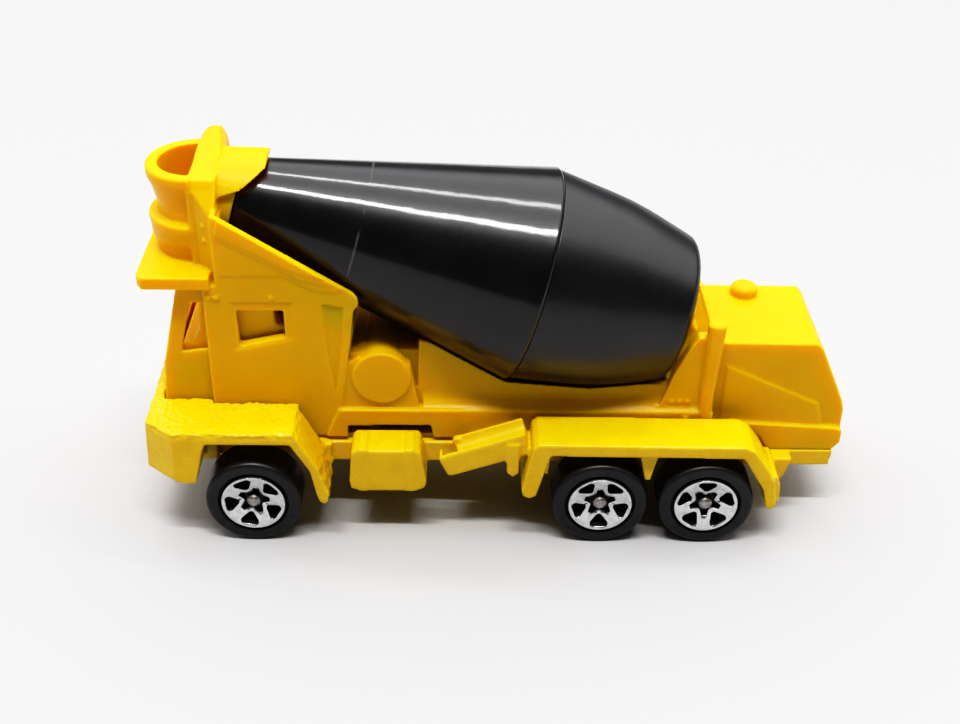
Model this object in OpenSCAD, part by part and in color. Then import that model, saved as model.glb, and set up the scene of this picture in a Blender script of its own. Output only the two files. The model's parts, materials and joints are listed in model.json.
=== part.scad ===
// Toy cement mixer: a die-cast chassis, a moulded upper body, a revolving drum
// in two shells, and six wheels on three plain axles.
// The front of the truck points along -X, the truck stands on Z = 0.

/* [Running gear] */
// Diameter of every wheel
wheel_d = 10.2; // [9.6:0.1:10.4]
// Width of a wheel's tread
wheel_w = 4.2; // [3.8:0.1:4.4]
// Distance from the centre line to the outer face of a wheel
wheel_face_y = 13.4; // [13.2:0.1:13.6]
// Position of the front axle
front_axle_x = -26.15; // [-26.3:0.05:-25.7]
// Position of the middle axle
middle_axle_x = 10.75; // [10.4:0.05:10.9]
// Position of the rear axle
rear_axle_x = 22.05; // [21.8:0.05:22.2]
// Diameter of an axle's shaft
axle_d = 1.1; // [0.9:0.1:1.2]
// Radial clearance of an axle in its bores
axle_play = 0.07; // [0.03:0.01:0.1]
// Radius of the bright wheel face
face_r = 3.37; // [3.2:0.01:3.45]

/* [Chassis] */
// Front end of the bumper
bumper_x = -37.1; // [-37.5:0.05:-36.8]
// Half of the width over the mudguards
guard_y = 13.5; // [13.4:0.1:13.8]
// Top of the front mudguards
front_guard_z = 14.1; // [13.9:0.1:14.4]
// Top of the rear mudguards
rear_guard_z = 13; // [12.6:0.1:13.3]
// Thickness of the mudguards
guard_t = 1.4; // [1.2:0.1:1.6]
// Underside of the chassis floor
floor_z = 6.8; // [6.6:0.1:7]
// Top of the chassis, where the body sits
seat_z = 9.8; // [9.6:0.1:10]

/* [Body] */
// Half of the width of the cab
cab_y = 7.5; // [7.3:0.1:7.6]
// Half of the width over the sills
sill_y = 7.8; // [7.7:0.1:7.9]
// Top of the deck
deck_z = 13.3; // [13.1:0.1:13.5]
// Thickness of the moulded walls
wall_t = 1.1; // [0.9:0.1:1.2]
// Radius of the hopper's rim
hopper_r = 5.15; // [5:0.05:5.2]
// Height of the hopper's rim
hopper_z = 38.7; // [38.2:0.1:39]
// Half of the width of the engine housing
housing_y = 6.2; // [6:0.1:6.4]
// Top of the engine housing
housing_z = 21.1; // [20.8:0.1:21.3]

/* [Drum] */
// Tilt of the drum's axis, mouth end up
drum_tilt = 15.7; // [15.2:0.1:16]
// Largest radius of the drum, at its seam
drum_r = 11.6; // [11.2:0.1:11.65]
// Radius of the drum's mouth end
mouth_r = 4.3; // [4.1:0.1:4.5]
// Length of the front cone
front_len = 31.7; // [31.4:0.1:31.8]
// Length of the rear cone
rear_len = 16.3; // [15.8:0.1:16.5]
// Gap that the body leaves round the drum
drum_gap = 0.2; // [0.15:0.05:0.3]
// Thickness of the drum's shells
shell_t = 0.9; // [0.7:0.1:1]

/* [Hidden] */

$fn = 64;
paint = [1, 0.84, 0.02];
moulded = [0.96, 0.76, 0.02];
black = [0.08, 0.08, 0.09];
tyre_black = [0.16, 0.16, 0.17];
steel = [0.62, 0.62, 0.64];
bright = [0.85, 0.86, 0.88];
e = 0.01;

wheel_r = wheel_d / 2;
axle_r = axle_d / 2;
bore_r = axle_r + axle_play;
axle_xs = [front_axle_x, middle_axle_x, rear_axle_x];

// Wheel depths, counted inwards from its outer face
foil_t = 0.08;
hub_depth = 1.3;
pocket_depth = 1.5;
head_r = 0.72;
head_len = 1.1;
// The bright face is a shallow dish, its rim a little proud of the tyre
rim_r = 3.45;
rim_z = 0.02;
dish_slope = 0.29;
hub_boss_r = 1.7;

// The seam's centre on the drum's axis
seam_x = 3.25;
seam_z = 25.75;
neck_r = 3.2;
neck_len = 2.1;
trunnion_r = 0.9;
trunnion_len = 1.6;
bearing_play = 0.07;
rear_seam_r = drum_r - 0.2;
rear_break_s = 8.9;
rear_break_r = drum_r - 1.35;
rear_edge_s = rear_len - 1.25;
rear_edge_r = drum_r - 3.2;
rear_end_r = drum_r - 3.9;
spigot_r = 10.6;
spigot_len = 1.2;

// Lines that several parts share
panel_y = cab_y - 0.8;
door_x = -30.45;
pad_x0 = -11.5;
pad_x1 = 5.5;
pad_y = 5;
pad_z = floor_z - 0.4;
rail_y = 8;
rail_top_z = 9.3;
tower_x = -31.2;
tower_back_x = -28.6;
hopper_y = 0.2;
bulkhead_x = -17;
cradle_x = -8.6;
tail_x = 37.3;
rivet_xs = [-14.5, 16.2];
rivet_r = 0.9;
rivet_head_r = 1.5;
rivet_top_z = 11.9;

// A prism with its outline in the XZ plane, between two values of Y
module prism(points, y0, y1) {
    translate([0, y1, 0]) rotate([90, 0, 0]) linear_extrude(y1 - y0) polygon(points);
}

// The same prism on both sides of the truck
module both_prisms(points, y0, y1) {
    prism(points, y0, y1);
    prism(points, -y1, -y0);
}

// Mirror image on the right-hand side, added to the left-hand original
module both_sides() {
    children();
    mirror([0, 1, 0]) children();
}

// Moves a shape built along +Z onto the drum's axis, seam at its origin, mouth end up
module on_drum_axis() {
    translate([seam_x, 0, seam_z]) rotate([0, drum_tilt - 90, 0]) children();
}

// ---------------------------------------------------------------- wheels

// A triangle with round corners, its point towards the hub
module wheel_pocket_outline() {
    corner = 0.38;
    tip = [1.94, 0];
    base = [2.6, 0.56];
    slope = atan2(base[1], base[0] - tip[0]);
    shift = corner * [-sin(slope), cos(slope)];
    for (p = [tip, base, [base[0], -base[1]]]) translate(p) circle(corner, $fn = 32);
    polygon([tip + shift, base + shift, base + [corner, 0], [base[0] + corner, -base[1]],
        [base[0] + shift[0], -base[1] - shift[1]], [tip[0] + shift[0], -shift[1]]]);
}

module star_outline() {
    polygon([for (i = [0:4], k = [0:3]) let (
        a = 36 + 72 * i + [-30, -9, 9, 30][k],
        r = [1.02, 1.7, 1.7, 1.02][k]) [r * cos(a), r * sin(a)]]);
}

module wheel_holes_outline() {
    for (i = [0:4]) rotate(72 * i) wheel_pocket_outline();
    star_outline();
}

// Height of the dish under the bright face, at a given radius
function dish_z(r) = rim_z - dish_slope * (rim_r - r);

// Built with its axle along Z and its outer face on z = 0
module wheel_solid() {
    round_r = 0.5;
    edge = [for (a = [0:15:90]) [wheel_r - round_r + round_r * cos(a), -round_r + round_r * sin(a)]];
    inner = [for (a = [0:15:90]) [wheel_r - round_r + round_r * sin(a),
        -wheel_w + round_r - round_r * cos(a)]];
    difference() {
        rotate_extrude($fn = 96) polygon(concat(
            [[bore_r, -hub_depth], [0.95, -hub_depth], [0.95, dish_z(0.95)], [rim_r, rim_z],
            [rim_r, -0.6], [3.66, -0.6], [3.7, -0.12], [3.8, 0]],
            [for (i = [len(edge) - 1:-1:0]) edge[i]],
            [for (i = [len(inner) - 1:-1:0]) inner[i]],
            [[4.3, -wheel_w], [4.15, -2.2], [hub_boss_r + 0.2, -2.2], [hub_boss_r, -wheel_w - 0.85],
            [bore_r, -wheel_w - 0.85]]));
        translate([0, 0, -pocket_depth]) linear_extrude(2) {
            for (i = [0:4]) rotate(72 * i) wheel_pocket_outline();
        }
        translate([0, 0, -hub_depth]) linear_extrude(2) star_outline();
    }
}

module foil_solid() {
    difference() {
        rotate_extrude($fn = 96) polygon([[0.96, dish_z(0.96)], [face_r, dish_z(face_r)],
            [face_r, dish_z(face_r) + foil_t], [0.96, dish_z(0.96) + foil_t]]);
        translate([0, 0, -2]) linear_extrude(4) wheel_holes_outline();
    }
}

// side is -1 on the truck's left and 1 on its right
module at_wheel(x, side, turn) {
    translate([x, side * wheel_face_y, wheel_r]) rotate([-90 * side, 0, 0]) rotate(turn) children();
}

module wheel(x, side, turn) {
    color(tyre_black) at_wheel(x, side, turn) wheel_solid();
}

module wheel_foil(x, side, turn) {
    color(bright) at_wheel(x, side, turn) foil_solid();
}

module axle(x) {
    head_y = wheel_face_y - hub_depth + 0.08;
    end_y = head_y + head_len;
    color(steel) translate([x, 0, wheel_r]) rotate([90, 0, 0]) rotate_extrude($fn = 48) polygon([
        [0, -end_y], [head_r - 0.25, -end_y], [head_r, -end_y + 0.2], [head_r, -head_y],
        [axle_r, -head_y], [axle_r, head_y],
        [head_r, head_y], [head_r, end_y - 0.2], [head_r - 0.25, end_y], [0, end_y]]);
}

// --------------------------------------------------------------- chassis

module bumper_and_front_guards() {
    draft = 0.35;
    cab_front_x = -35.85;
    arch_x = -31;
    difference() {
        intersection() {
            translate([0, 0, 7.6]) linear_extrude(front_guard_z - 7.6) polygon([
                [bumper_x - draft, -10.9], [bumper_x + 1.3, -12.2], [-34, -guard_y], [-21.4, -guard_y],
                [-21.4, guard_y], [-34, guard_y], [bumper_x + 1.3, 12.2], [bumper_x - draft, 10.9]]);
            // the bumper's face leans out towards its foot
            prism([[bumper_x, front_guard_z], [bumper_x - draft, 7.6], [-21, 7.6],
                [-21, front_guard_z]], -20, 20);
        }
        // room for the cab, whose front panels are narrower than its doors
        translate([cab_front_x, -panel_y - 0.05, seat_z]) cube([30, 2 * panel_y + 0.1, 10]);
        translate([door_x - 0.05, -cab_y - 0.05, seat_z]) cube([30, 2 * cab_y + 0.1, 10]);
        // wheel arches, open behind the bumper
        prism([[arch_x - 1.1, 7], [arch_x, front_guard_z - guard_t - 1],
            [arch_x + 0.4, front_guard_z - guard_t],
            [0, front_guard_z - guard_t], [0, 7]], -20, 20);
        // the bumper's side ends rise a little towards its front
        prism([[bumper_x - 1, 7], [bumper_x - 1, 8.1], [-34.3, 7.9], [-32.6, 7.5], [-32.6, 7]], -20, 20);
    }
    // inner web of the bumper
    translate([-35.4, -rail_y, floor_z]) cube([5, 2 * rail_y, seat_z - floor_z]);
}

module front_mudguard() {
    prism([[-21.9, front_guard_z - guard_t], [-21.4, front_guard_z], [-18.9, 9.3], [-18.05, 6.2],
        [-18.2, 5.3],
        [-18.6, 5], [-19.1, 5.3], [-19.4, 6.3], [-19.95, 9.3]], -guard_y, -cab_y - 0.8);
    // root of the mudguard on the rail
    prism([[-19.95, 9.3], [-18.9, rail_top_z], [-18, rail_top_z], [-18, floor_z], [-19.45, floor_z]],
        -8.5, -6.9);
}

module rear_mudguard() {
    top = rear_guard_z;
    // top plate
    prism([[3.4, top - 0.5], [4, top], [25.6, top - 0.25], [26.5, top - 0.7], [25.5, top - 1.7],
        [4.9, top - 1.5]], -guard_y, -rail_y - 0.1);
    // front leg
    prism([[3.4, top - 0.5], [2.3, 6.9], [2.5, 6.2], [3.2, 5.9], [3.9, 6.3], [5.3, top - 1.4]],
        -guard_y, -7);
    // rear leg, thicker at its foot
    prism([[25.6, top - 0.25], [26.5, top - 0.7], [27.85, 10.5], [29.05, 8.4], [29.5, 5.1], [29, 4.6],
        [28.45, 4.95],
        [28, 7.15], [25.5, top - 1.7]], -guard_y, -rail_y - 0.1);
    prism([[28.6, 8.6], [29.5, 8.4], [29.95, 7.2], [30, 5], [29.4, 4.4], [28.8, 4.7]],
        -guard_y + 0.9, -7.2);
    // wedges between and ahead of the wheels
    prism([[14.6, top - 1.4], [15.35, 8], [15.95, 8], [16.7, top - 1.4]], -guard_y + 0.6, -7);
    prism([[4.2, top - 1.4], [4.8, 8.6], [5.1, 8.4], [5.4, top - 1.4]], -guard_y + 0.9, -12);
    // web from the rear leg to the tail
    prism([[27.8, 7.8], [28.4, 5.4], [29.4, 4.5], [30.7, 4.5], [31.3, 5.7], [31.7, 7], [31.9, 7.8]],
        -8.6, -6);
}

module side_tank() {
    x0 = -16;
    x1 = -8.05;
    prism([[x0 + 0.3, 10.6], [x0 + 0.7, 11], [x1 - 0.7, 11], [x1 - 0.3, 10.6], [x1 + 0.3, 6.9],
        [x1 + 0.1, 6.1], [x1 - 0.8, 5.7], [x0 + 1, 5.7], [x0 + 0.15, 6], [x0, 6.9]], -12, -rail_y + e);
    for (x = [x0 + 1.1, x1 - 1.85]) prism([[x, 5.8], [x, 11.2], [x + 0.8, 11.2], [x + 0.8, 5.8]],
        -12.15, -8.6);
}

// Spare chute, stowed on the left
module chute() {
    len = 9.4;
    depth = 3.05;
    width = 3.3;
    translate([-5.5, -12, 7.25]) rotate([0, -19.5, 0]) {
        difference() {
            prism([[0.15, 0.55], [0.6, 0.3], [len, 0.3], [len, depth], [0.1, depth],
                [-0.05, 2.6]], 0, width);
            translate([0.4, width / 2, depth + 0.3]) rotate([0, 90, 0]) cylinder(h = len + 1, r = 1.3,
                $fn = 48);
            // the far wall starts further along
            translate([-1, width / 2, 1.2]) cube([2.7, width, depth]);
        }
        // rib that joins it to the rail
        prism([[3, 0.6], [8, 0.6], [8, 2.3], [3, 2.3]], width - 0.2, width + 1);
    }
    // rounded end of the far wall
    translate([-4.55, -8.6, 10.3]) rotate([90, 0, 0]) cylinder(h = 0.85, r = 0.5, $fn = 32);
    // bracket
    prism([[0.75, 12], [0.75, 8.3], [1.4, 7.8], [2.05, 8.3], [2.05, 12]], -12.2, -10.8);
}

module bearing_block(x) {
    both_sides() prism([[x - 1.9, floor_z + 0.5], [x - 1.6, wheel_r - 0.6], [x - 1, wheel_r - 1.4],
        [x + 1, wheel_r - 1.4], [x + 1.6, wheel_r - 0.6], [x + 1.9, floor_z + 0.5]], -rail_y, -4.6);
}

module chassis_casting() {
    color(paint) difference() {
        union() {
            bumper_and_front_guards();
            both_sides() front_mudguard();
            both_sides() rear_mudguard();
            both_sides() side_tank();
            chute();
            // floor beam with a lower outer rail along each side
            translate([-31, -7, floor_z]) cube([67.6, 14, seat_z - floor_z]);
            translate([-20, -rail_y, floor_z]) cube([47, 2 * rail_y, rail_top_z - floor_z]);
            translate([24, -7, 5.75]) cube([12.4, 14, 2]);
            for (x = axle_xs) bearing_block(x);
            // flat pad under the floor, for a stand
            translate([pad_x0, -pad_y, pad_z]) cube([pad_x1 - pad_x0, 2 * pad_y, floor_z - pad_z + e]);
        }
        // hollow between the floor and the body, with posts left round the rivets
        difference() {
            translate([-13, -5.8, floor_z + 1.2]) cube([36, 11.6, 5]);
            for (x = rivet_xs) translate([x, 0, 0]) cylinder(h = 20, r = 2.4);
        }
        // room for the body's sills
        translate([-19, -sill_y - 0.05, seat_z]) cube([60, 2 * sill_y + 0.1, 10]);
        // the tail drops below the body's rear band
        translate([24.9, -7.1, 7.8]) cube([20, 14.2, 10]);
        for (x = axle_xs) translate([x, 0, wheel_r]) rotate([90, 0, 0]) cylinder(h = 30, r = bore_r,
            center = true);
        for (x = rivet_xs) translate([x, 0, 0]) cylinder(h = 20, r = rivet_r, $fn = 48);
    }
}

module chassis_rivets() {
    color(steel) for (x = rivet_xs) translate([x, 0, 0]) rotate_extrude($fn = 48) polygon([
        [0, floor_z - 0.5], [rivet_head_r - 0.5, floor_z - 0.5], [rivet_head_r, floor_z - 0.2],
        [rivet_head_r, floor_z], [rivet_r, floor_z], [rivet_r, rivet_top_z], [0, rivet_top_z]]);
}

// ------------------------------------------------------------------ body

// Height of the line under the drum that the cab's roof follows, at a given X
function roof_line(x) = 29.5 - 0.551 * (x + 28.5);
// Height of the side plates' upper edge, at a given X
function plate_line(x) = 34.9 - 0.642 * (x + 26.8);

module cab_outside() {
    // lower cab and the side plates beside the drum
    prism([[-35.7, seat_z], [-35.7, 14], [-35.35, 18.4], [-33.1, 28.2], [tower_back_x - 0.4, 28.2],
        [tower_back_x - 0.4, plate_line(-28.6)], [-28.2, plate_line(-28.2)], [-15.2, plate_line(-15.2)],
        [-14.75, 26.85], [-14.65, 26], [-15.2, 25.4], [-15.6, 22], [-16.9, deck_z], [-16.4, seat_z]],
        -cab_y, cab_y);
    // rounded rail along the side plates' upper edge, in three steps
    for (step = [0:2]) both_prisms([[-28.2, plate_line(-28.2)], [-16 - step, plate_line(-16 - step)],
        [-17 - step, plate_line(-17 - step) - 1.1 + 0.3 * step],
        [-19.4 - step, plate_line(-19.4 - step) - 2.3 + 0.5 * step],
        [-28.6, plate_line(-28.6) - 2.9 + 0.5 * step]], cab_y - e, cab_y + 0.1 + 0.1 * step);
    // shallow raised panel below the rail
    both_prisms([[-28.4, 29.4], [-28.4, 33.7], [-22.4, 30.3], [-21.8, 29.4]], cab_y - e, cab_y + 0.1);
    // visor
    translate([0, 0, 27.9]) linear_extrude(1.4) polygon([[-37.05, -7], [-36.45, -7.9], [-29.6, -7.9],
        [-29.6, 7.9], [-36.45, 7.9], [-37.05, 7]]);
}

module cab_hollows() {
    inner_y = cab_y - wall_t - 0.2;
    // room inside, open towards the chassis
    prism([[-34.6, seat_z - 1], [-34.6, 14], [-34.3, 18.6], [-32.4, 26.6], [-26, 26.6],
        [-19, roof_line(-19) - 1.4], [-18.4, roof_line(-18.4) - 2], [-18.4, seat_z - 1]],
        -inner_y, inner_y);
    // windscreen
    prism([[-37, 19.2], [-33.6, 19.2], [-32.2, 26], [-37, 26]], -5.6, 5.6);
    // quarter and door windows
    prism([[-33.4, 19.8], [-32, 25.75], [door_x, 25.75], [door_x, 20.2]], -20, 20);
    prism([[-27.15, 21], [-27.2, 25.3], [-22.4, 25.3], [-22.35, 22.1]], -20, 20);
    // front panels lie further in than the doors
    both_prisms([[-38, 9], [-38, 27.8], [door_x, 27.8], [door_x, 9]], panel_y, cab_y + 1);
    // frame round the door window
    both_prisms([[-27.8, 20.5], [-27.8, 26.3], [-21.3, 26.3], [-21.5, 21.9]], cab_y - 0.12, cab_y + 1);
    // tapering hollow ahead of the cab's rear edge
    both_prisms([[-18.5, 26.2], [-16.2, 25.8], [-16.7, 19.4], [-17.4, 15],
        [-18, 20]], cab_y - 0.25, cab_y + 1);
    // trough in which the drum lies, between the side plates
    prism([[-28.5, roof_line(-28.5)], [-10, roof_line(-10)], [-10, 45], [-28.5, 45]],
        -cab_y + 0.55, cab_y - 0.55);
}

module tower_and_hopper() {
    tower_z = 28.2;
    // tower, narrower towards the front, its sides drawn in at the top and rising to a fin on the right
    intersection() {
        translate([0, 0, tower_z]) linear_extrude(15) polygon([[tower_x, -4.7],
            [tower_back_x, -7], [tower_back_x, 7], [tower_x, 4.7]]);
        translate([tower_x - 1, 0, 0]) rotate([90, 0, 90]) linear_extrude(5) polygon([[-7.1, tower_z],
            [-7, 34.3],
            [-6.4, 35.5], [-4.9, 37.6], [-4.4, 38.5], [0, 39.4], [3.4, 40.3], [4.3, 40.6], [4.8, 40.3],
            [5.1, 39.2], [5.9, 37.5], [6.9, 34.5], [7.1, tower_z]]);
        prism([[tower_x - 0.1, tower_z], [tower_x - 0.1, 39.3], [-30.6, 40.1], [-29.7, 40.6], [-29.1, 40.4],
            [tower_back_x, 39.2], [tower_back_x, tower_z]], -8, 8);
    }
    // foot of the tower below the side plates' rails
    translate([tower_back_x - 0.5, -cab_y, tower_z]) cube([0.8, 2 * cab_y, 7]);
    // half-round hopper with a flared rim and a second flare below
    intersection() {
        translate([tower_x, hopper_y, 0]) rotate_extrude($fn = 96) polygon([[0, 28.5], [4.6, 28.5],
            [4.6, 29.3],
            [5.1, 31.2], [5.3, 33.1], [5.2, 33.4], [4.3, 33.5], [4.3, 34.6], [4.75, 36.6], [hopper_r, 37.7],
            [hopper_r, hopper_z - 0.2], [hopper_r - 0.2, hopper_z], [0, hopper_z]]);
        translate([tower_x - 10, -10, 20]) cube([10 + e, 20, 30]);
    }
    // flange of the hopper's back plate
    both_prisms([[tower_x - 0.35, 29], [tower_x - 0.35, 37.4], [tower_x + 0.6, 37.4],
        [tower_x + 0.6, 29]], 4.3, 5);
}

// Arched hood over the drum's mouth end, cut off on a slant towards the rear
module hood() {
    slope = (drum_r - mouth_r) / front_len;
    s0 = 25.8;
    s1 = 35.5;
    intersection() {
        on_drum_axis() rotate_extrude($fn = 96) polygon([for (p = [[s0, 0], [s0, 0.95], [s1, 0.95],
            [s1, 0]])
            [drum_r - slope * p[0] + drum_gap + p[1], p[0]]]);
        prism([[-29.3, 36.2], [-28.2, 36.7], [-27.5, 36.95], [-26.3, 37.3], [-25.4, 37.9], [-24.5, 38.5],
            [-23.8, 38.9], [-23.85, 39.3], [-24.6, 39.9], [-25.1, 42], [-27.2, 42], [-28.4, 39.4],
            [-29.3, 38.8]], -8, 8);
    }
    // boss round the front bearing, right ahead of the drum's mouth
    on_drum_axis() translate([0, 0, front_len + drum_gap]) cylinder(h = 1.9, r = mouth_r + 0.15, $fn = 96);
}

// Hollow fillet between a wall that faces sideways at y and the sill's edge
module foot_fillet(y, height, x0, x1) {
    both_sides() translate([x0, 0, 0]) rotate([90, 0, 90]) linear_extrude(x1 - x0) polygon([
        [-y + 0.1, deck_z - 1], [-sill_y + 0.1, deck_z - 1], [-sill_y + 0.1, deck_z],
        [-y - 0.5 * (sill_y - y), deck_z + 0.25 * height], [-y - 0.15 * (sill_y - y),
        deck_z + 0.6 * height],
        [-y, deck_z + height], [-y + 0.1, deck_z + height]]);
}

module deck_and_sills() {
    both_sides() {
        prism([[bulkhead_x - 1.6, seat_z], [bulkhead_x - 0.2, deck_z], [22.8, deck_z],
            [22.8, seat_z]], -sill_y, -6.6);
        // bead along the front of the sill's upper edge
        prism([[-16.9, deck_z - 0.4], [-16.9, deck_z + 0.06], [-4, deck_z + 0.06], [-4, deck_z - 0.4]],
            -sill_y - 0.06, -6.7);
    }
    foot_fillet(6.5, 1.5, cradle_x + 0.4, 17.2);
    foot_fillet(7.2, 0.5, 16.7, 22.6);
    // deck under the drum and the cradle that rises from it
    translate([cradle_x, -7, 12.1]) cube([30, 14, deck_z - 12.1]);
    prism([[cradle_x - 0.2, 12.2], [cradle_x, 21.3], [-7, 21], [4, 16], [18.4, 16], [18.4, 12.2]],
        -6.5, 6.5);
    // low walls between the water tank and its neighbours
    prism([[-10.6, 12.2], [-10.6, 19.8], [cradle_x + 0.1, 19.8], [cradle_x + 0.1, 12.2]], -5.9, 5.9);
    prism([[-16.5, 12.2], [-16.2, 19.4], [-14.4, 19.8], [-14.4, 12.2]], -6.4, 6.4);
    // bulkhead behind the cab
    prism([[-19, seat_z], [-19, roof_line(-19)], [-15.4, roof_line(-15.4)], [-15.8, 20],
        [-16.9, seat_z]], -6.4, 6.4);
    for (x = rivet_xs) translate([x, 0, seat_z]) cylinder(h = 3, r = 1.9);
    translate([-17.2, -6.8, 12.1]) cube([9, 13.6, deck_z - 12.1]);
}

// Water tank that lies across the truck behind the cab, held by a block at each end
module water_tank() {
    both_prisms([[-17, deck_z - 0.3], [-16.4, 18.6], [-15, 19.6], [-10.8, 19.6], [-9.5, 18.6],
        [-8.55, deck_z - 0.3]], 4.8, 7.3);
    translate([-12.55, 0, 17.2]) rotate([90, 0, 0]) cylinder(h = 15.2, r = 3.1, center = true, $fn = 96);
}

// Small pips left by the moulding on the left-hand side: position and radius
module moulding_pips() {
    height = 0.25;
    radius = 0.25;
    for (p = [[18.3, -7.15, 14.3], [19.15, -7.15, 14.3], [20, -7.15, 14.3], [19.9, 0.05 - sill_y, 12.6],
        [22.5, 0.05 - sill_y, 12.6], [-29.85, 0.05 - cab_y, 26.9], [-29.1, 0.05 - cab_y, 26.9],
        [-23.5, 0.05 - cab_y, 26.9], [-30, -5.7, 32.5], [-30, -5.7, 34.1]])
        translate(p) rotate([90, 0, 0]) cylinder(h = height, r = radius, $fn = 24);
}

module engine_housing() {
    top = housing_z;
    // bulkhead right behind the drum, its front sloping down under the drum
    prism([[16.3, seat_z], [17.3, deck_z], [19.2, 17.6], [22.8, top], [24.2, top], [24.2, seat_z]],
        -housing_y, housing_y);
    // side walls of the bulkhead, the left one raised beside the exhaust post
    prism([[15.9, seat_z], [17, deck_z], [18.3, 17.6], [19.7, 20.8], [20.6, 22.3], [22, 22.3],
        [22.8, top + 0.3], [22.8, seat_z]], -7.2, -5.8);
    prism([[16.1, seat_z], [17.1, deck_z], [20.1, top + 0.2], [22.8, top + 0.2], [22.8, seat_z]], 5.6, 7.2);
    // pedestal of the drum's rear bearing
    prism([[19, 17], [19, 21], [20.7, 20.8], [21.5, 19], [21.5, 17]], -1.1, 1.1);
    // housing
    prism([[22, seat_z], [24.9, seat_z], [24.9, seat_z - 1.9], [tail_x - 0.2, seat_z - 1.9], [37.25, 10.4],
        [37.25, 12.7], [37, 13.7], [36.1, 15.8], [34.05, 20.3], [33.45, top - 0.1], [24.2, top],
        [22.5, top]],
        -housing_y, housing_y);
    // three-cornered side panels
    both_prisms([[24, 10.8], [24, 18.35], [34.3, 13.5], [35, 10.8]], housing_y - 0.5, housing_y + 0.2);
    // band round the foot of the housing
    prism([[24.9, 9.7], [24.9, 11.4], [36.6, 10.7], [tail_x, 10.3], [tail_x, 8.8], [36.45, 7.8],
        [29.4, 7.8],
        [28.2, 9.7]], -6.9, 6.9);
    // domed cap on the top
    translate([27.1, 4.2, top - 1]) rotate_extrude($fn = 48) polygon([[0, 0], [1.5, 0], [1.5, 1.6],
        [1.42, 1.9],
        [1.2, 2.15], [0.8, 2.32], [0, 2.4]]);
    // exhaust post, wider towards its top
    translate([21.9, -7.35, 12]) rotate([0, 1.8, 0]) {
        cylinder(h = 12.1, r1 = 0.65, r2 = 1, $fn = 40);
        translate([0, 0, 12.1]) cylinder(h = 0.25, r1 = 1, r2 = 0.75, $fn = 40);
    }
    // bearing for the drum's rear trunnion
    on_drum_axis() translate([0, 0, -rear_len - 0.4 - trunnion_len]) cylinder(h = trunnion_len,
        r = 1.4, $fn = 48);
}

module housing_hollows() {
    // room inside, open towards the chassis
    prism([[25.2, seat_z - 3], [25.2, housing_z - 1.2], [32.8, housing_z - 1.6], [35.9, 12.6],
        [36.1, seat_z - 3]],
        -housing_y + wall_t, housing_y - wall_t);
}

module body_moulding() {
    color(moulded) difference() {
        union() {
            difference() {
                cab_outside();
                cab_hollows();
            }
            tower_and_hopper();
            hood();
            deck_and_sills();
            water_tank();
            moulding_pips();
            difference() {
                engine_housing();
                housing_hollows();
            }
        }
        // room for the drum to turn
        on_drum_axis() rotate_extrude($fn = 96) polygon([[0, front_len + drum_gap],
            [mouth_r + drum_gap, front_len + drum_gap], [drum_r + drum_gap, 0.3], [drum_r + drum_gap, -0.3],
            [rear_break_r + drum_gap, -rear_break_s], [rear_edge_r + drum_gap, -rear_edge_s],
            [rear_end_r + drum_gap, -rear_len - 0.4], [0, -rear_len - 0.4]]);
        // front bearing, which the drum's neck turns in
        on_drum_axis() translate([0, 0, front_len]) cylinder(h = neck_len + 0.2,
            r = neck_r + bearing_play, $fn = 96);
        // rear bearing
        on_drum_axis() translate([0, 0, -rear_len - trunnion_len - 0.1])
            cylinder(h = trunnion_len + 2, r = trunnion_r + bearing_play, $fn = 48);
        // inside of the hopper
        intersection() {
            translate([tower_x, hopper_y, 30.4]) cylinder(h = 20, r = hopper_r - 1.25, $fn = 96);
            translate([tower_x - 10, -10, 30]) cube([9.8, 20, 30]);
        }
        // the sill is raised over the side tanks
        prism([[-16.3, 5], [-16.3, 11.25], [-7.4, 11.35], [-7.1, seat_z], [-7.1, 5]], -20, 20);
        for (x = rivet_xs) translate([x, 0, 0]) cylinder(h = rivet_top_z, r = rivet_r, $fn = 48);
    }
}

// Dashboard and seats, one solid block that fills the cab from below
module cab_interior() {
    color(moulded) {
        prism([[-34.2, seat_z], [-34.2, 14], [-34, 18], [-33.3, 20.4], [-32.2, 20.7], [-31.5, 22],
            [-31.1, 26.2],
            [-26.2, 26.2], [-23.6, 24.9], [-23.45, 22.8], [-22.5, 22.5], [-22.1, 21], [-20.6, 16.6],
            [-20.6, seat_z]], -5.9, 5.9);
    }
}

// ------------------------------------------------------------------ drum

module drum_front_shell() {
    color(black) on_drum_axis() rotate_extrude($fn = 120) polygon([
        [drum_r - 0.25, 0], [drum_r, 0.3], [mouth_r + 0.2, front_len - 0.2], [mouth_r, front_len],
        [neck_r, front_len], [neck_r, front_len + neck_len - 0.2], [neck_r - 0.2, front_len + neck_len],
        [0, front_len + neck_len], [0, front_len - shell_t],
        [mouth_r - shell_t, front_len - 2 * shell_t], [spigot_r, spigot_len], [spigot_r, 0]]);
}

module drum_rear_shell() {
    color(black) on_drum_axis() rotate_extrude($fn = 120) polygon([
        [rear_seam_r, 0], [rear_break_r, -rear_break_s], [rear_edge_r, -rear_edge_s],
        [rear_edge_r - 0.2, -rear_edge_s - 0.6], [rear_end_r, -rear_len + 0.15],
        [rear_end_r - 0.6, -rear_len],
        [trunnion_r, -rear_len], [trunnion_r, -rear_len - trunnion_len + 0.2],
        [trunnion_r - 0.2, -rear_len - trunnion_len], [0, -rear_len - trunnion_len],
        [0, -rear_len + shell_t], [rear_end_r - shell_t, -rear_len + shell_t + 0.2],
        [rear_break_r - shell_t, -rear_break_s], [spigot_r - 0.7, 0], [spigot_r - 0.7, spigot_len],
        [spigot_r, spigot_len], [spigot_r, 0]]);
}

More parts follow.
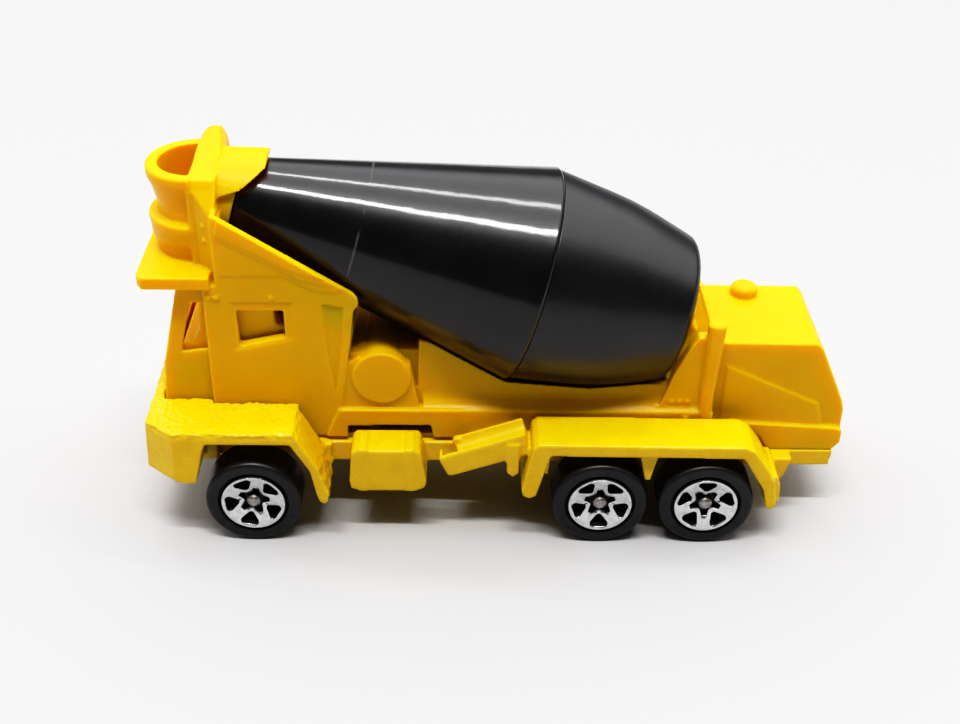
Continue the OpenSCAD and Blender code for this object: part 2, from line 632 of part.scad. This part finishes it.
chassis_casting();
body_moulding();
cab_interior();
drum_front_shell();
drum_rear_shell();
chassis_rivets();
axle(front_axle_x);  // front_axle
axle(middle_axle_x);  // middle_axle
axle(rear_axle_x);  // rear_axle
wheel(front_axle_x, -1, -102.5);  // front_left_wheel
wheel(front_axle_x, 1, 20);  // front_right_wheel
wheel(middle_axle_x, -1, -90);  // middle_left_wheel
wheel(middle_axle_x, 1, 0);  // middle_right_wheel
wheel(rear_axle_x, -1, 90);  // rear_left_wheel
wheel(rear_axle_x, 1, 60);  // rear_right_wheel
wheel_foil(front_axle_x, -1, -102.5);  // front_left_wheel_foil
wheel_foil(front_axle_x, 1, 20);  // front_right_wheel_foil
wheel_foil(middle_axle_x, -1, -90);  // middle_left_wheel_foil
wheel_foil(middle_axle_x, 1, 0);  // middle_right_wheel_foil
wheel_foil(rear_axle_x, -1, 90);  // rear_left_wheel_foil
wheel_foil(rear_axle_x, 1, 60);  // rear_right_wheel_foil
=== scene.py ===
import json
import math

import bmesh
import bpy
import numpy as np
from mathutils import Matrix, Vector, noise


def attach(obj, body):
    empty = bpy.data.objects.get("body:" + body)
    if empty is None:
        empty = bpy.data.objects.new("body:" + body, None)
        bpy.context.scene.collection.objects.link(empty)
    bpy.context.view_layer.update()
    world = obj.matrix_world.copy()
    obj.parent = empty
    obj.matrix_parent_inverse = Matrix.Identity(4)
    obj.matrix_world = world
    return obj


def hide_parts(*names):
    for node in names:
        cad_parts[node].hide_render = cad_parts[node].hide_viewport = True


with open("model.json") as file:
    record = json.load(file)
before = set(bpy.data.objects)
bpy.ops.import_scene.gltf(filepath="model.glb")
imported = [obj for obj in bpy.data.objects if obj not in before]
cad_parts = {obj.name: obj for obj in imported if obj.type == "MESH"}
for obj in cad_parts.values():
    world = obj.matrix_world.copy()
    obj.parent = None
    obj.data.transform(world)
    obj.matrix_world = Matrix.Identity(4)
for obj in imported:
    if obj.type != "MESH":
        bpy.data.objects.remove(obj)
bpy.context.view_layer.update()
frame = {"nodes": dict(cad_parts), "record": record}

MM = 0.001
SCENE = bpy.context.scene
NODES = frame["nodes"]
RECORD = frame["record"]
BODY_OF = {node: body for body, nodes in RECORD["behaviour"]["bodies"].items() for node in nodes}

# The drum turns about this line: a point on its seam's plane, and its tilt from level.
DRUM_JOINT = next(joint for joint in RECORD["behaviour"]["joints"] if joint["name"] == "drum_spin")
DRUM_SEAM = Vector(DRUM_JOINT["pos_m"])
DRUM_TILT = math.asin(DRUM_JOINT["axis"][2])


# ------------------------------------------------------------ camera and stage

UP = Vector((0, 0, 1))
CAMERA_PLACE = Vector((-3.9, -129.84, 98.81)) * MM
CAMERA_VIEW = Vector((0.0117, 0.8386, -0.5447)).normalized()
CAMERA_ROLL = 0.015
CAMERA_LENS = 52.35
CAMERA_SENSOR = 36

FLOOR_REACH = 15.0
FLOOR_COLOUR = (0.42, 0.418, 0.424, 1)
TRUCK_MIDDLE = Vector((0, 0, 0.02))

LAMP_HEIGHT = 1.2
LAMP_COLOUR = (1, 0.985, 0.96)
# Each ceiling lamp: its name, its two ends on plan, its width and its power.
LAMPS = (
    ("tube_far", (-0.36, 0.54), (0.44, 0.27), 0.05, 4.5),
    ("tube_near", (-0.42, -0.285), (0.36, -0.35), 0.04, 13),
)

# The ceiling glows on the side that this direction points to.
CEILING_SLANT = (0, 0.38, 1)
CEILING_START, CEILING_FULL, CEILING_GLOW = 0.66, 0.94, 1.85
HORIZON_START, HORIZON_FULL = 0.1, 0.5
ROOM_GLOW = 0.1
ROOM_COLOUR = (0.98, 0.98, 1, 1)

# How bright a light tone is shown, from shadows to highlights.
TONES = ((0.036, 0.014), (0.1, 0.068), (0.29, 0.285), (0.5, 0.6), (0.7, 0.81), (0.86, 0.9))
COMBINED_CURVE = 3


def placed(name, data, place, across, upward, backward):
    """A camera or lamp at a place, turned to three axes that are square to each other."""
    thing = bpy.data.objects.new(name, data)
    turned = Matrix((across, upward, backward)).transposed().to_4x4()
    thing.matrix_world = Matrix.Translation(place) @ turned
    SCENE.collection.objects.link(thing)
    return thing


def make_camera():
    """A camera in front of the truck's left side, looking down on it."""
    right = CAMERA_VIEW.cross(UP).normalized()
    up = right.cross(CAMERA_VIEW)
    across = right * math.cos(CAMERA_ROLL) + up * math.sin(CAMERA_ROLL)
    upward = up * math.cos(CAMERA_ROLL) - right * math.sin(CAMERA_ROLL)
    data = bpy.data.cameras.new("camera")
    data.sensor_width = CAMERA_SENSOR
    data.lens = CAMERA_LENS
    data.clip_start = 0.005
    data.clip_end = 40
    SCENE.camera = placed("camera", data, CAMERA_PLACE, across, upward, -CAMERA_VIEW)


def strip_light(name, start, end, width, power):
    """A long flat lamp on the ceiling between two points, turned towards the truck."""
    start = Vector((*start, LAMP_HEIGHT))
    end = Vector((*end, LAMP_HEIGHT))
    centre = (start + end) / 2
    along = (end - start).normalized()
    side = along.cross(TRUCK_MIDDLE - centre).normalized()
    down = side.cross(along)
    data = bpy.data.lights.new(name, "AREA")
    data.shape = "RECTANGLE"
    data.size = (end - start).length
    data.size_y = width
    data.energy = power
    data.color = LAMP_COLOUR
    placed(name, data, centre, along, side, -down)


def light_the_ceiling(tree):
    """A room with a pale ceiling that is dark on the viewer's side."""

    def add(kind, **values):
        node = tree.nodes.new(kind)
        for key, value in values.items():
            setattr(node, key, value)
        return node

    def step(source, low, high, top):
        node = add("ShaderNodeMapRange", interpolation_type="SMOOTHSTEP")
        node.inputs["From Min"].default_value = low
        node.inputs["From Max"].default_value = high
        node.inputs["To Max"].default_value = top
        tree.links.new(source, node.inputs["Value"])
        return node.outputs["Result"]

    direction = add("ShaderNodeTexCoord").outputs["Generated"]
    across = add("ShaderNodeVectorMath", operation="MULTIPLY")
    across.inputs[1].default_value = (0, 1, 1)
    level = add("ShaderNodeVectorMath", operation="NORMALIZE")
    slant = add("ShaderNodeVectorMath", operation="DOT_PRODUCT")
    slant.inputs[1].default_value = CEILING_SLANT
    height = add("ShaderNodeSeparateXYZ")
    tree.links.new(direction, across.inputs[0])
    tree.links.new(across.outputs["Vector"], level.inputs[0])
    tree.links.new(level.outputs["Vector"], slant.inputs[0])
    tree.links.new(direction, height.inputs["Vector"])

    glow = add("ShaderNodeMath", operation="MULTIPLY_ADD")
    ceiling = step(slant.outputs["Value"], CEILING_START, CEILING_FULL, CEILING_GLOW)
    horizon = step(height.outputs["Z"], HORIZON_START, HORIZON_FULL, 1)
    tree.links.new(ceiling, glow.inputs[0])
    tree.links.new(horizon, glow.inputs[1])
    glow.inputs[2].default_value = ROOM_GLOW
    room = tree.nodes["Background"]
    room.inputs["Color"].default_value = ROOM_COLOUR
    tree.links.new(glow.outputs["Value"], room.inputs["Strength"])


def make_floor():
    """A plain pale floor that reaches to the horizon."""
    bm = bmesh.new()
    bmesh.ops.create_grid(bm, x_segments=24, y_segments=24, size=FLOOR_REACH)
    mesh = bpy.data.meshes.new("studio_floor")
    bm.to_mesh(mesh)
    bm.free()
    floor = bpy.data.objects.new("studio_floor", mesh)
    SCENE.collection.objects.link(floor)
    paint = bpy.data.materials.new("studio_floor")
    paint.use_nodes = True
    shader = paint.node_tree.nodes["Principled BSDF"]
    shader.inputs["Base Color"].default_value = FLOOR_COLOUR
    shader.inputs["Roughness"].default_value = 0.85
    shader.inputs["Specular IOR Level"].default_value = 0.2
    mesh.materials.append(paint)


def make_room():
    """The glowing ceiling and its two lamps."""
    world = bpy.data.worlds.new("studio")
    SCENE.world = world
    world.use_nodes = True
    light_the_ceiling(world.node_tree)
    for lamp in LAMPS:
        strip_light(*lamp)


def make_tone_curve():
    """The contrast of a phone camera: deeper shadows and brighter light tones."""
    view = SCENE.view_settings
    view.view_transform = "Standard"
    view.look = "None"
    view.use_curve_mapping = True
    for bright, shown in TONES:
        view.curve_mapping.curves[COMBINED_CURVE].points.new(bright, shown)
    view.curve_mapping.update()


make_camera()
make_floor()
make_room()
make_tone_curve()


# ------------------------------------------------------------------ materials

class Nodes:
    """A material's nodes, with short calls for the few kinds that this scene uses."""

    def __init__(self, name):
        self.material = bpy.data.materials.new(name)
        self.material.use_nodes = True
        self.tree = self.material.node_tree
        self.shader = self.tree.nodes["Principled BSDF"]
        self.place = self.tree.nodes.new("ShaderNodeTexCoord").outputs["Object"]

    def add(self, kind, **values):
        node = self.tree.nodes.new(kind)
        for key, value in values.items():
            setattr(node, key, value)
        return node

    def link(self, source, socket):
        self.tree.links.new(source, socket)

    def scaled(self, scale):
        """Object coordinates in millimetres, times a scale for each axis."""
        node = self.add("ShaderNodeMapping")
        node.inputs["Scale"].default_value = [1000 * s for s in scale]
        self.link(self.place, node.inputs["Vector"])
        return node.outputs["Vector"]

    def noise(self, size, detail=3, rough=0.5, stretch=(1, 1, 1), where=None):
        """Noise whose features are about size millimetres across."""
        node = self.add("ShaderNodeTexNoise")
        node.inputs["Scale"].default_value = 1 / size
        node.inputs["Detail"].default_value = detail
        node.inputs["Roughness"].default_value = rough
        self.link(where or self.scaled(stretch), node.inputs["Vector"])
        return node.outputs["Fac"]

    def ramp(self, source, low, high, at_low=0.0, at_high=1.0):
        """A value that goes from at_low to at_high as the source goes from low to high."""
        node = self.add("ShaderNodeMapRange", clamp=True)
        node.inputs["From Min"].default_value = low
        node.inputs["From Max"].default_value = high
        node.inputs["To Min"].default_value = at_low
        node.inputs["To Max"].default_value = at_high
        self.link(source, node.inputs["Value"])
        return node.outputs["Result"]

    def fill(self, socket, value):
        """Sets a socket to a number or a colour, or links an output to it."""
        if isinstance(value, tuple):
            socket.default_value = (*value, 1) if socket.type == "RGBA" else value
        elif isinstance(value, (int, float)):
            socket.default_value = value
        else:
            self.link(value, socket)

    def maths(self, operation, first, second=0.0):
        node = self.add("ShaderNodeMath", operation=operation)
        self.fill(node.inputs[0], first)
        self.fill(node.inputs[1], second)
        return node.outputs["Value"]

    def mix(self, amount, first, second):
        """A colour between first and second."""
        node = self.add("ShaderNodeMix", data_type="RGBA")
        colours = [socket for socket in node.inputs if socket.type == "RGBA"]
        self.fill(node.inputs["Factor"], amount)
        self.fill(colours[0], first)
        self.fill(colours[1], second)
        return next(socket for socket in node.outputs if socket.type == "RGBA")

    def bump(self, height, distance, strength, below=None):
        """A relief up to distance millimetres deep, over another one where below is given."""
        node = self.add("ShaderNodeBump")
        node.inputs["Distance"].default_value = distance * MM
        node.inputs["Strength"].default_value = strength
        self.link(height, node.inputs["Height"])
        if below is not None:
            self.link(below, node.inputs["Normal"])
        return node.outputs["Normal"]

    def put(self, name, value):
        """Sets or links an input of the material's shader."""
        self.fill(self.shader.inputs[name], value)


PAINT_THIN = (0.67, 0.435, 0.0)
PAINT_THICK = (0.71, 0.485, 0.0)
PIT_COLOUR = (0.45, 0.17, 0.0)
BODY_COLOURS = ((0.67, 0.405, 0.0), (0.70, 0.43, 0.0))
# Painted light: the cab interior is the body's yellow plastic, coloured brighter here to stand in for
# light that shines in through the cab's thin walls.
INTERIOR_LIT_COLOURS = ((0.97, 0.53, 0.0), (0.99, 0.57, 0.0))
GLOW_DEPTH = 2.2 * MM
GLOW_COLOUR = (1.0, 0.4, 0.03)
DRUM_COLOURS = ((0.0042, 0.0036, 0.0044), (0.0085, 0.0076, 0.0088))
RING_COLOUR = (0.12, 0.115, 0.12)
RING_FROM_SEAM = 19.2 * MM
# Noise repeats per metre along the drum's axis and across it, which draws it out into hoops.
HOOP_SCALE = (9000, 350, 350)
WHEEL_COLOURS = ((0.006, 0.0052, 0.0058), (0.013, 0.0115, 0.0125))
SCUFF_COLOUR = (0.09, 0.085, 0.085)
FOIL_COLOURS = ((0.66, 0.665, 0.67), (0.5, 0.505, 0.51))
STEEL_COLOURS = ((0.42, 0.41, 0.41), (0.25, 0.2, 0.17))


def yellow_paint():
    """Thick gloss yellow enamel over a zinc casting, uneven where it has pooled."""
    n = Nodes("yellow_paint")
    pool = n.noise(2.6, 4, 0.55)
    fine = n.noise(0.22, 3, 0.6)
    colour = n.mix(n.ramp(pool, 0.35, 0.7), PAINT_THIN, PAINT_THICK)
    pits = n.ramp(n.noise(0.35, 5, 0.75), 0.66, 0.72)
    colour = n.mix(n.maths("MULTIPLY", pits, 0.45), colour, PIT_COLOUR)
    n.put("Base Color", colour)
    n.put("Roughness", n.ramp(n.noise(1.2, 4), 0.3, 0.75, 0.2, 0.42))
    n.put("Specular IOR Level", 0.35)
    n.put("Normal", n.bump(fine, 0.02, 0.45, n.bump(pool, 0.1, 0.5)))
    return n.material


def yellow_plastic(name, colours, rough):
    """Yellow moulding that lets a little light into itself."""
    n = Nodes(name)
    cloud = n.noise(5, 3, 0.5)
    flow = n.noise(1.6, 4, 0.55, (0.35, 0.35, 1.5))
    n.put("Base Color", n.mix(n.ramp(cloud, 0.3, 0.7), *colours))
    n.put("Roughness", n.ramp(flow, 0.3, 0.7, rough - 0.06, rough + 0.08))
    n.put("Specular IOR Level", 0.14)
    n.put("Subsurface Weight", 0.9)
    n.put("Subsurface Radius", GLOW_COLOUR)
    n.put("Subsurface Scale", GLOW_DEPTH)
    n.put("Normal", n.bump(n.noise(0.16, 2), 0.012, 0.3, n.bump(flow, 0.05, 0.35)))
    return n.material


def black_drum(name, rough, gloss, shine):
    """Polished black moulding with fine hoop scratches and one worn ring from turning."""
    n = Nodes(name)
    turned = n.add("ShaderNodeMapping", vector_type="TEXTURE")
    turned.inputs["Location"].default_value = DRUM_SEAM
    turned.inputs["Rotation"].default_value = (0, DRUM_TILT, 0)
    n.link(n.place, turned.inputs["Vector"])
    along = n.add("ShaderNodeVectorMath", operation="MULTIPLY")
    n.link(turned.outputs["Vector"], along.inputs[0])
    along.inputs[1].default_value = HOOP_SCALE
    hoops = n.noise(1, 4, 0.65, where=along.outputs["Vector"])
    marks = n.ramp(n.noise(0.5, 6, 0.8), 0.62, 0.7)
    split = n.add("ShaderNodeSeparateXYZ")
    n.link(turned.outputs["Vector"], split.inputs["Vector"])
    ring = n.maths("ABSOLUTE", n.maths("ADD", split.outputs["X"], RING_FROM_SEAM))
    ring = n.ramp(ring, 0.05 * MM, 0.16 * MM, 1, 0)
    ring = n.maths("MULTIPLY", ring, n.ramp(n.noise(3, 2), 0.42, 0.6))
    colour = n.mix(n.ramp(n.noise(4, 4), 0.35, 0.7), *DRUM_COLOURS)
    n.put("Base Color", n.mix(n.maths("MULTIPLY", ring, 0.5), colour, RING_COLOUR))
    worn = n.ramp(hoops, 0.35, 0.75, rough - 0.04, rough + 0.06)
    worn = n.maths("ADD", worn, n.maths("MULTIPLY", marks, 0.12))
    n.put("Roughness", n.maths("ADD", worn, n.maths("MULTIPLY", ring, 0.3)))
    n.put("Specular IOR Level", shine)
    n.put("Coat Weight", gloss)
    n.put("Coat Roughness", 0.045)
    height = n.maths("ADD", hoops, n.maths("MULTIPLY", marks, 0.6))
    waves = n.bump(n.noise(3.5, 2), 0.12, 0.3)
    n.put("Normal", n.bump(height, 0.006, 0.2, waves))
    n.put("Coat Normal", n.bump(n.noise(0.14, 4, 0.75), 0.009, 0.5, waves))
    return n.material


def black_wheel():
    """Satin black moulding, scuffed from rolling."""
    n = Nodes("wheel_black")
    colour = n.mix(n.ramp(n.noise(1.1, 4), 0.3, 0.7), *WHEEL_COLOURS)
    scuff = n.ramp(n.noise(0.3, 6, 0.8), 0.64, 0.72)
    n.put("Base Color", n.mix(n.maths("MULTIPLY", scuff, 0.4), colour, SCUFF_COLOUR))
    n.put("Roughness", n.ramp(n.noise(0.8, 4), 0.3, 0.7, 0.34, 0.5))
    n.put("Normal", n.bump(n.noise(0.2, 3), 0.015, 0.4))
    return n.material


def bright_foil():
    """Hot-stamped foil, a little cloudy and uneven."""
    n = Nodes("bright_foil")
    n.put("Base Color", n.mix(n.ramp(n.noise(0.7, 4), 0.4, 0.75), *FOIL_COLOURS))
    n.put("Metallic", 1.0)
    n.put("Roughness", n.ramp(n.noise(0.5, 5, 0.7), 0.35, 0.75, 0.12, 0.34))
    n.put("Normal", n.bump(n.noise(0.45, 3), 0.03, 0.5))
    return n.material


def plain_steel():
    """Bare steel with brown tarnish."""
    n = Nodes("plain_steel")
    tarnish = n.ramp(n.noise(0.4, 4, 0.6), 0.4, 0.7)
    n.put("Base Color", n.mix(tarnish, *STEEL_COLOURS))
    n.put("Metallic", 1.0)
    n.put("Roughness", n.ramp(n.noise(0.25, 4), 0.3, 0.7, 0.34, 0.55))
    n.put("Normal", n.bump(n.noise(0.12, 3), 0.02, 0.5))
    return n.material


PAINT = yellow_paint()
PLASTIC = yellow_plastic("yellow_plastic", BODY_COLOURS, rough=0.34)
# A lit copy of the body plastic for the cab interior: its brighter colour is painted light.
INNER_PLASTIC_PAINTED_LIGHT = yellow_plastic("yellow_inner_plastic_painted_light", INTERIOR_LIT_COLOURS, rough=0.42)
DRUM_FRONT = black_drum("drum_gloss", rough=0.34, gloss=0.7, shine=0.24)
DRUM_REAR = black_drum("drum_satin", rough=0.36, gloss=0.15, shine=0.6)
WHEEL = black_wheel()
FOIL = bright_foil()
STEEL = plain_steel()


# --------------------------------------------------------------------- pieces

# Millimetres and angles for the meshes that the CAD nodes are turned into.
WELD = 1e-4
SHARP = math.radians(35)
FLAT = math.radians(0.5)
TREAD_HEIGHT, TREAD_SINK = 0.12, 0.05
FLAKE_HEIGHT, FLAKE_SINK = 0.14, 0.06
FLAKE_OFFSET = Vector((7, 3, 1))
TURNED_STEPS = 200
CORNER_STEPS = 5


def new_piece(name, mesh, node, material):
    """Puts a finished mesh, in metres, in the place of a CAD node."""
    piece = bpy.data.objects.new(name, mesh)
    SCENE.collection.objects.link(piece)
    mesh.materials.clear()
    mesh.materials.append(material)
    mesh.shade_smooth()
    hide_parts(node)
    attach(piece, BODY_OF[node])


def welded(node):
    """The CAD node's mesh as a bmesh in millimetres, its split edges joined."""
    bm = bmesh.new()
    bm.from_mesh(NODES[node].data)
    bm.transform(Matrix.Scale(1 / MM, 4))
    bmesh.ops.remove_doubles(bm, verts=bm.verts, dist=WELD)
    return bm


def mesh_of(bm, name):
    """A mesh made of a bmesh, which is freed."""
    mesh = bpy.data.meshes.new(name)
    bm.to_mesh(mesh)
    bm.free()
    return mesh


def with_modifiers(mesh, *settings):
    """The mesh that a list of (kind, values) modifiers makes of mesh."""
    holder = bpy.data.objects.new("holder", mesh)
    SCENE.collection.objects.link(holder)
    for kind, values in settings:
        modifier = holder.modifiers.new(kind, kind)
        for key, value in values.items():
            setattr(modifier, key, value)
    graph = bpy.context.evaluated_depsgraph_get()
    made = bpy.data.meshes.new_from_object(holder.evaluated_get(graph))
    bpy.data.objects.remove(holder)
    return made


def shifted(mesh, shift):
    """Moves each vertex along its normal by shift(place, normal), in millimetres."""
    count = len(mesh.vertices)
    places = np.empty(count * 3)
    mesh.vertices.foreach_get("co", places)
    normals = np.empty(count * 3)
    mesh.vertices.foreach_get("normal", normals)
    places = places.reshape(-1, 3)
    normals = normals.reshape(-1, 3)
    places += normals * shift(places, normals)[:, None]
    mesh.vertices.foreach_set("co", places.ravel())
    mesh.update()


def softened(node, voxel, rounds, faces, shift=None):
    """The CAD node with its edges rounded as in a casting or moulding."""
    mesh = with_modifiers(
        mesh_of(welded(node), node),
        ("REMESH", {"mode": "VOXEL", "voxel_size": voxel, "adaptivity": 0}),
        ("SMOOTH", {"factor": 0.5, "iterations": rounds}),
    )
    if shift is not None:
        shifted(mesh, shift)
    triangles = len(mesh.polygons) * 2
    mesh = with_modifiers(mesh, ("DECIMATE", {"ratio": min(1, faces / triangles)}))
    mesh.transform(Matrix.Scale(MM, 4))
    return mesh


def smooth_step(values, low, high):
    """0 below low, 1 above high, and a smooth rise between them."""
    t = np.clip((values - low) / (high - low), 0, 1)
    return t * t * (3 - 2 * t)


def cast_roughness(places, normals):
    """Tread on top of the bumper and front mudguards, and flaky edges there and on the rear legs.

    It gives each place, in millimetres, the distance that it moves along its normal.
    """
    forward = -places[:, 0]
    height = places[:, 2]
    backward_face = smooth_step(normals[:, 0], 0.2, 0.6)
    upward_face = smooth_step(normals[:, 2], 0.2, 0.7)
    side_face = 1 - smooth_step(np.abs(normals[:, 2]), 0.5, 0.95)
    front = smooth_step(forward, 17.5, 19)
    tread = front * smooth_step(height, 13.4, 13.9) * upward_face
    edge = front * smooth_step(height, 13.2, 13.7) * side_face
    leg = smooth_step(forward, 16.5, 17.5) * (1 - smooth_step(forward, 20.4, 21))
    leg = leg * (1 - smooth_step(height, 9, 10.5)) * backward_face
    made = np.zeros(len(places))
    for i in np.nonzero((tread > 0.01) | (edge > 0.01) | (leg > 0.01))[0]:
        place = Vector(places[i])
        grain = noise.noise(place * 1.9) + 0.7 * noise.noise(place * 3.7)
        flake = noise.noise(place * 1.1 + FLAKE_OFFSET) + 0.5 * noise.noise(place * 2.6)
        made[i] = tread[i] * (TREAD_HEIGHT * grain - TREAD_SINK)
        made[i] += edge[i] * (FLAKE_HEIGHT * flake - FLAKE_SINK)
        made[i] += leg[i] * FLAKE_HEIGHT * flake
    return made


def bevelled(node, width, segments=2):
    """The CAD node with fine round edges, for turned and small pieces."""
    bm = welded(node)
    bmesh.ops.dissolve_limit(bm, angle_limit=FLAT, verts=bm.verts, edges=bm.edges)
    rounding = {"width": width, "segments": segments, "use_clamp_overlap": False}
    rounding.update({"limit_method": "ANGLE", "angle_limit": SHARP})
    mesh = with_modifiers(mesh_of(bm, node), ("BEVEL", rounding), ("TRIANGULATE", {}))
    mesh.transform(Matrix.Scale(MM, 4))
    return mesh


def rounded(corners):
    """The outline through (radius, distance, rounding) corners, each one eased by a short curve."""
    points = []
    for i, (radius, distance, rounding) in enumerate(corners):
        here = Vector((radius, distance))
        before = Vector(corners[i - 1][:2]) - here
        after = Vector(corners[(i + 1) % len(corners)][:2]) - here
        reach = min(rounding, before.length * 0.45, after.length * 0.45)
        start = here + before.normalized() * reach
        end = here + after.normalized() * reach
        for k in range(CORNER_STEPS):
            t = k / (CORNER_STEPS - 1)
            points.append(start * (1 - t) ** 2 + here * 2 * t * (1 - t) + end * t * t)
    return points


def lathe(corners):
    """A shell turned on the drum's axis, from its outline's corners in millimetres."""
    outline = rounded(corners)
    bm = bmesh.new()
    rings = []
    for k in range(TURNED_STEPS):
        turn = 2 * math.pi * k / TURNED_STEPS
        ring = [(r * math.cos(turn), r * math.sin(turn), distance) for r, distance in outline]
        rings.append([bm.verts.new(place) for place in ring])
    for k, here in enumerate(rings):
        before = rings[k - 1]
        for i in range(len(outline)):
            bm.faces.new((before[i - 1], here[i - 1], here[i], before[i]))
    bmesh.ops.remove_doubles(bm, verts=bm.verts, dist=WELD)
    bmesh.ops.recalc_face_normals(bm, faces=bm.faces)
    tilt = Matrix.Rotation(DRUM_TILT - math.pi / 2, 4, "Y")
    bm.transform(Matrix.Translation(DRUM_SEAM) @ tilt @ Matrix.Scale(MM, 4))
    return mesh_of(bm, "shell")


# The drum's two shells, in millimetres. A corner is its radius, its distance from the seam
# towards the mouth, and how far its rounding reaches.
CENTRE = 0.001
SPIGOT_OUT, SPIGOT_IN, SPIGOT_LENGTH = 10.6, 9.9, 1.2
NECK_RADIUS, NECK_END, MOUTH_END, MOUTH_INSIDE = 3.2, 33.8, 31.7, 30.8
TRUNNION_RADIUS, TRUNNION_END, REAR_END, REAR_INSIDE = 0.9, -17.9, -16.3, -15.4


def front_shell():
    """The long cone: rim at the seam, cone, mouth, neck, and the hollow inside."""
    rim = [(11.35, 0, 0.1), (11.6, 0.3, 0.15)]
    mouth = [(4.5, MOUTH_END - 0.2, 0.2), (4.3, MOUTH_END, 0.2), (NECK_RADIUS, MOUTH_END, 0.05)]
    neck = [(NECK_RADIUS, NECK_END - 0.2, 0.1), (NECK_RADIUS - 0.2, NECK_END, 0.1), (CENTRE, NECK_END, 0)]
    hollow = [(CENTRE, MOUTH_INSIDE, 0), (3.4, 29.9, 0.1), (SPIGOT_OUT, SPIGOT_LENGTH, 0.1)]
    return lathe(rim + mouth + neck + hollow + [(SPIGOT_OUT, 0, 0.05)])


def rear_shell():
    """The short cone: rim, two slopes, round end, trunnion, hollow, and the spigot at the seam."""
    slopes = [(11.4, 0, 0.08), (10.25, -8.9, 3.0), (8.4, -15.05, 1.0)]
    end = [(8.2, -15.65, 0.3), (7.7, -16.15, 0.3), (7.1, REAR_END, 0.3), (TRUNNION_RADIUS, REAR_END, 0.05)]
    trunnion = [(TRUNNION_RADIUS, TRUNNION_END + 0.2, 0.05), (TRUNNION_RADIUS - 0.2, TRUNNION_END, 0.1)]
    hollow = [(CENTRE, TRUNNION_END, 0), (CENTRE, REAR_INSIDE, 0), (6.8, -15.2, 0.2), (9.35, -8.9, 0.5)]
    spigot = [(SPIGOT_IN, 0, 0.05), (SPIGOT_IN, SPIGOT_LENGTH, 0.05), (SPIGOT_OUT, SPIGOT_LENGTH, 0.05)]
    return lathe(slopes + end + trunnion + hollow + spigot + [(SPIGOT_OUT, 0, 0.05)])


def add_rolling_row(row):
    """One axle with its left and right wheels, and the foil on each wheel's face."""
    new_piece(row + "_axle_pin", bevelled(row + "_axle", 0.05), row + "_axle", STEEL)
    for side in ("left", "right"):
        wheel = row + "_" + side + "_wheel"
        foil = wheel + "_foil"
        new_piece(wheel + "_tyre", bevelled(wheel, 0.06), wheel, WHEEL)
        new_piece(wheel + "_face", bevelled(foil, 0.03), foil, FOIL)


chassis_mesh = softened("chassis_casting", voxel=0.14, rounds=8, faces=180000, shift=cast_roughness)
new_piece("chassis", chassis_mesh, "chassis_casting", PAINT)
body_mesh = softened("body_moulding", voxel=0.12, rounds=6, faces=190000)
new_piece("upper_body", body_mesh, "body_moulding", PLASTIC)
seats_mesh = softened("cab_interior", voxel=0.15, rounds=8, faces=20000)
new_piece("cab_seats", seats_mesh, "cab_interior", INNER_PLASTIC_PAINTED_LIGHT)
new_piece("drum_front", front_shell(), "drum_front_shell", DRUM_FRONT)
new_piece("drum_rear", rear_shell(), "drum_rear_shell", DRUM_REAR)
for row_name in ("front", "middle", "rear"):
    add_rolling_row(row_name)
new_piece("rivet_pair", bevelled("chassis_rivets", 0.08, segments=3), "chassis_rivets", STEEL)
